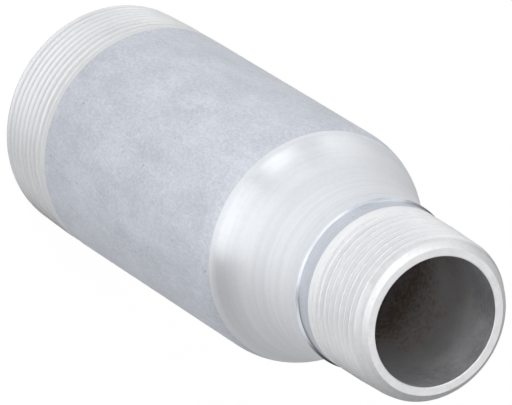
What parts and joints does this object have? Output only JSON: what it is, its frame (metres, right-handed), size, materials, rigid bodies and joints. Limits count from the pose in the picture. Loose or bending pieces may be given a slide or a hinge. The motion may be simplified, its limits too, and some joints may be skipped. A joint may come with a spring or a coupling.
{
  "type": "pipe nipple",
  "caption": "Hollow round pipe nipple that steps down through a smooth shoulder from a wide pipe to a narrow one, with a tapered male thread at each end.",
  "frame": {"origin": "centre of the large end's face, at floor height when the nipple stands on that end", "axes": "+Z along the pipe's axis from the large end to the small end; X and Y are any two directions across it"},
  "size_m": [0.0604, 0.0602, 0.1651],
  "materials": {
    "aluminium": "satin mill finish on the pipe, fine turned finish on the shoulder, neck and threads"
  },
  "bodies": {
    "root": {"reducing_nipple": "aluminium"}
  },
  "joints": []
}
